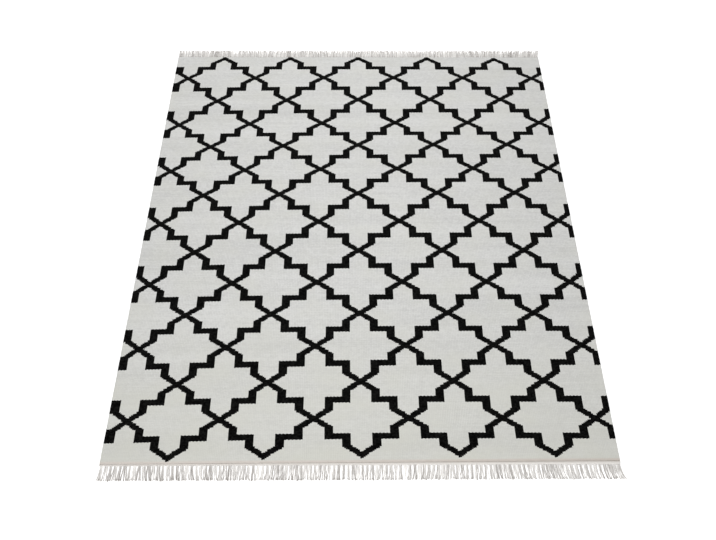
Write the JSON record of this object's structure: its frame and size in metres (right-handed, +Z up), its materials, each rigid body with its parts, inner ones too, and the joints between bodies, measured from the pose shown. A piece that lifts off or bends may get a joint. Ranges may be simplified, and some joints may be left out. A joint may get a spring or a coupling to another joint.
{
  "type": "flat-woven rug",
  "caption": "Flat-woven rectangular floor rug with a dark stepped star trellis on a pale ground and a cut yarn fringe at each end.",
  "frame": {"origin": "on the floor, under the middle of the whole rug, fringes included", "axes": "+X across the rug, +Y along it towards the far fringe, +Z up out of its face"},
  "size_m": [1.5295, 2.569, 0.0052],
  "materials": {
    "woven_wool": "matt flat-woven wool, off-white ground with black woven lines",
    "cotton_yarn": "undyed twisted cotton warp ends"
  },
  "bodies": {
    "root": {"cloth": "woven_wool", "fringe_near": "cotton_yarn", "fringe_far": "cotton_yarn"}
  },
  "joints": []
}
